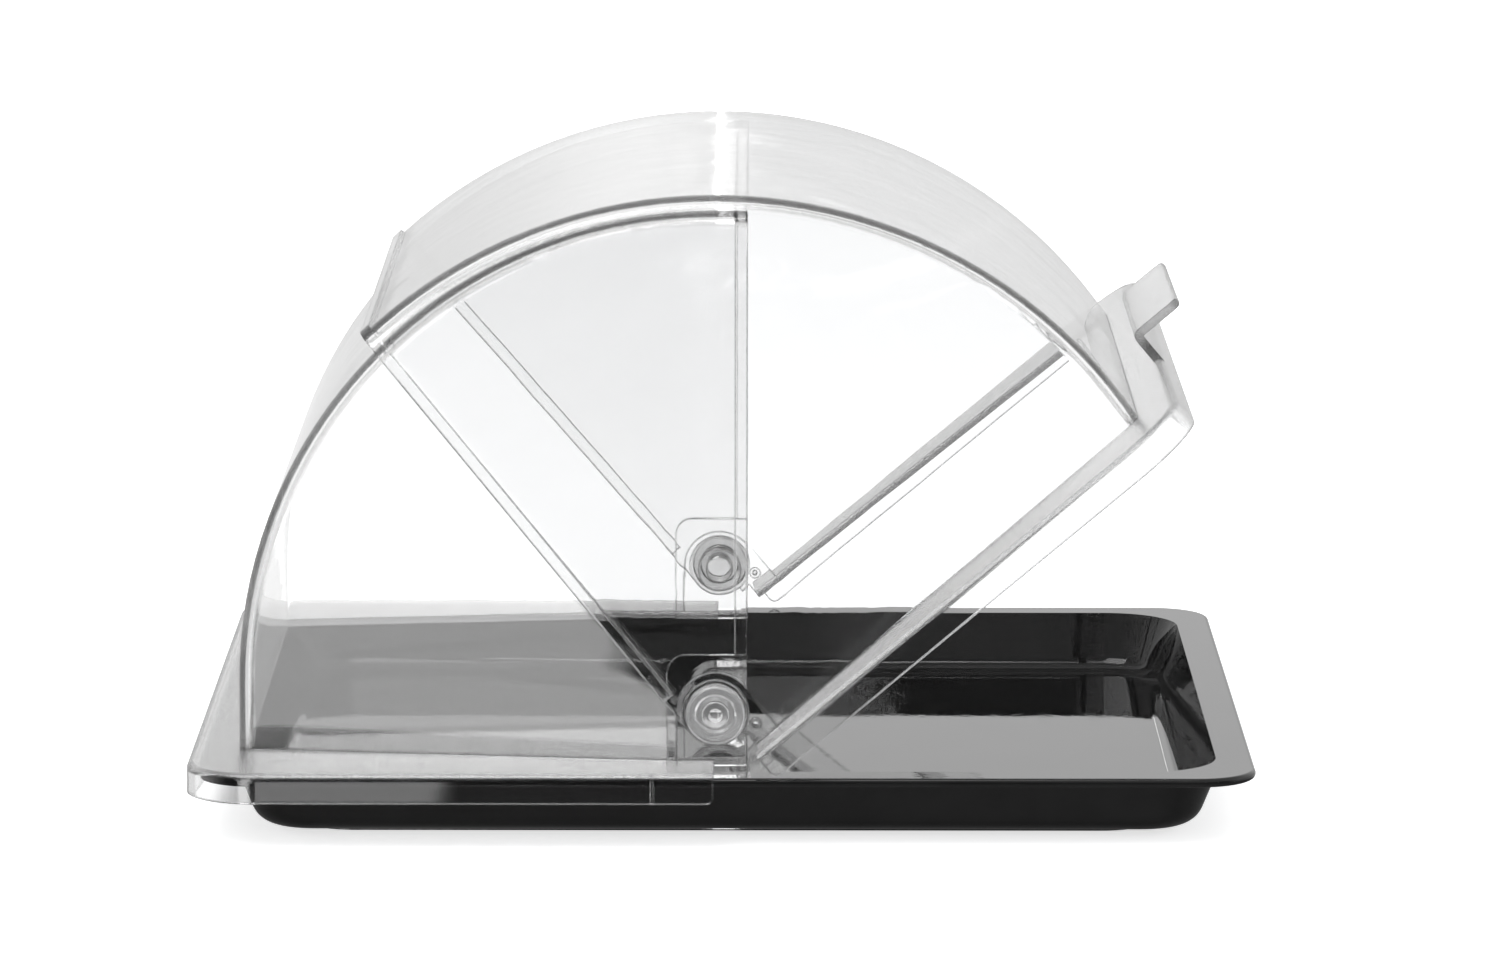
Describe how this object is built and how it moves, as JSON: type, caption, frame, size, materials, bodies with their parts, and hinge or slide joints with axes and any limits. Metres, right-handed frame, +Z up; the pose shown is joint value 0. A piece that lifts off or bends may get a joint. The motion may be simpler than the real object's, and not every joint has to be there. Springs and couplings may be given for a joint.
{
  "type": "roll-top food cover",
  "caption": "Clear roll-top food cover on a low black serving tray: a fixed rear shell and a front lid that rolls back over it about side pivots.",
  "frame": {"origin": "middle of the tray's foot, on the surface that it stands on", "axes": "+Z up, +X towards the front edge where the lid is gripped, +Y along the lid's pivot axis"},
  "size_m": [0.3582, 0.3334, 0.2145],
  "materials": {
    "tray_black": "gloss",
    "clear_shell": "clear gloss",
    "clear_pivot": "clear gloss",
    "washer": "translucent"
  },
  "bodies": {
    "tray": {"tray": "tray_black"},
    "cover": {"rear_cover": "clear_shell", "left_pivot_button": "clear_pivot", "right_pivot_button": "clear_pivot", "left_friction_washer": "washer", "right_friction_washer": "washer", "left_pivot_cap": "clear_pivot", "right_pivot_cap": "clear_pivot"},
    "lid": {"front_lid": "clear_shell"}
  },
  "joints": [
    {"name": "cover_lift", "type": "slide", "parent": "tray", "child": "cover", "axis": [0, 0, 1], "range_m": [0, 0.12]},
    {"name": "lid_roll", "type": "hinge", "parent": "cover", "child": "lid", "pos_m": [-0.004, 0, 0.0432], "axis": [0, -1, 0], "range_deg": [-40, 50]}
  ]
}
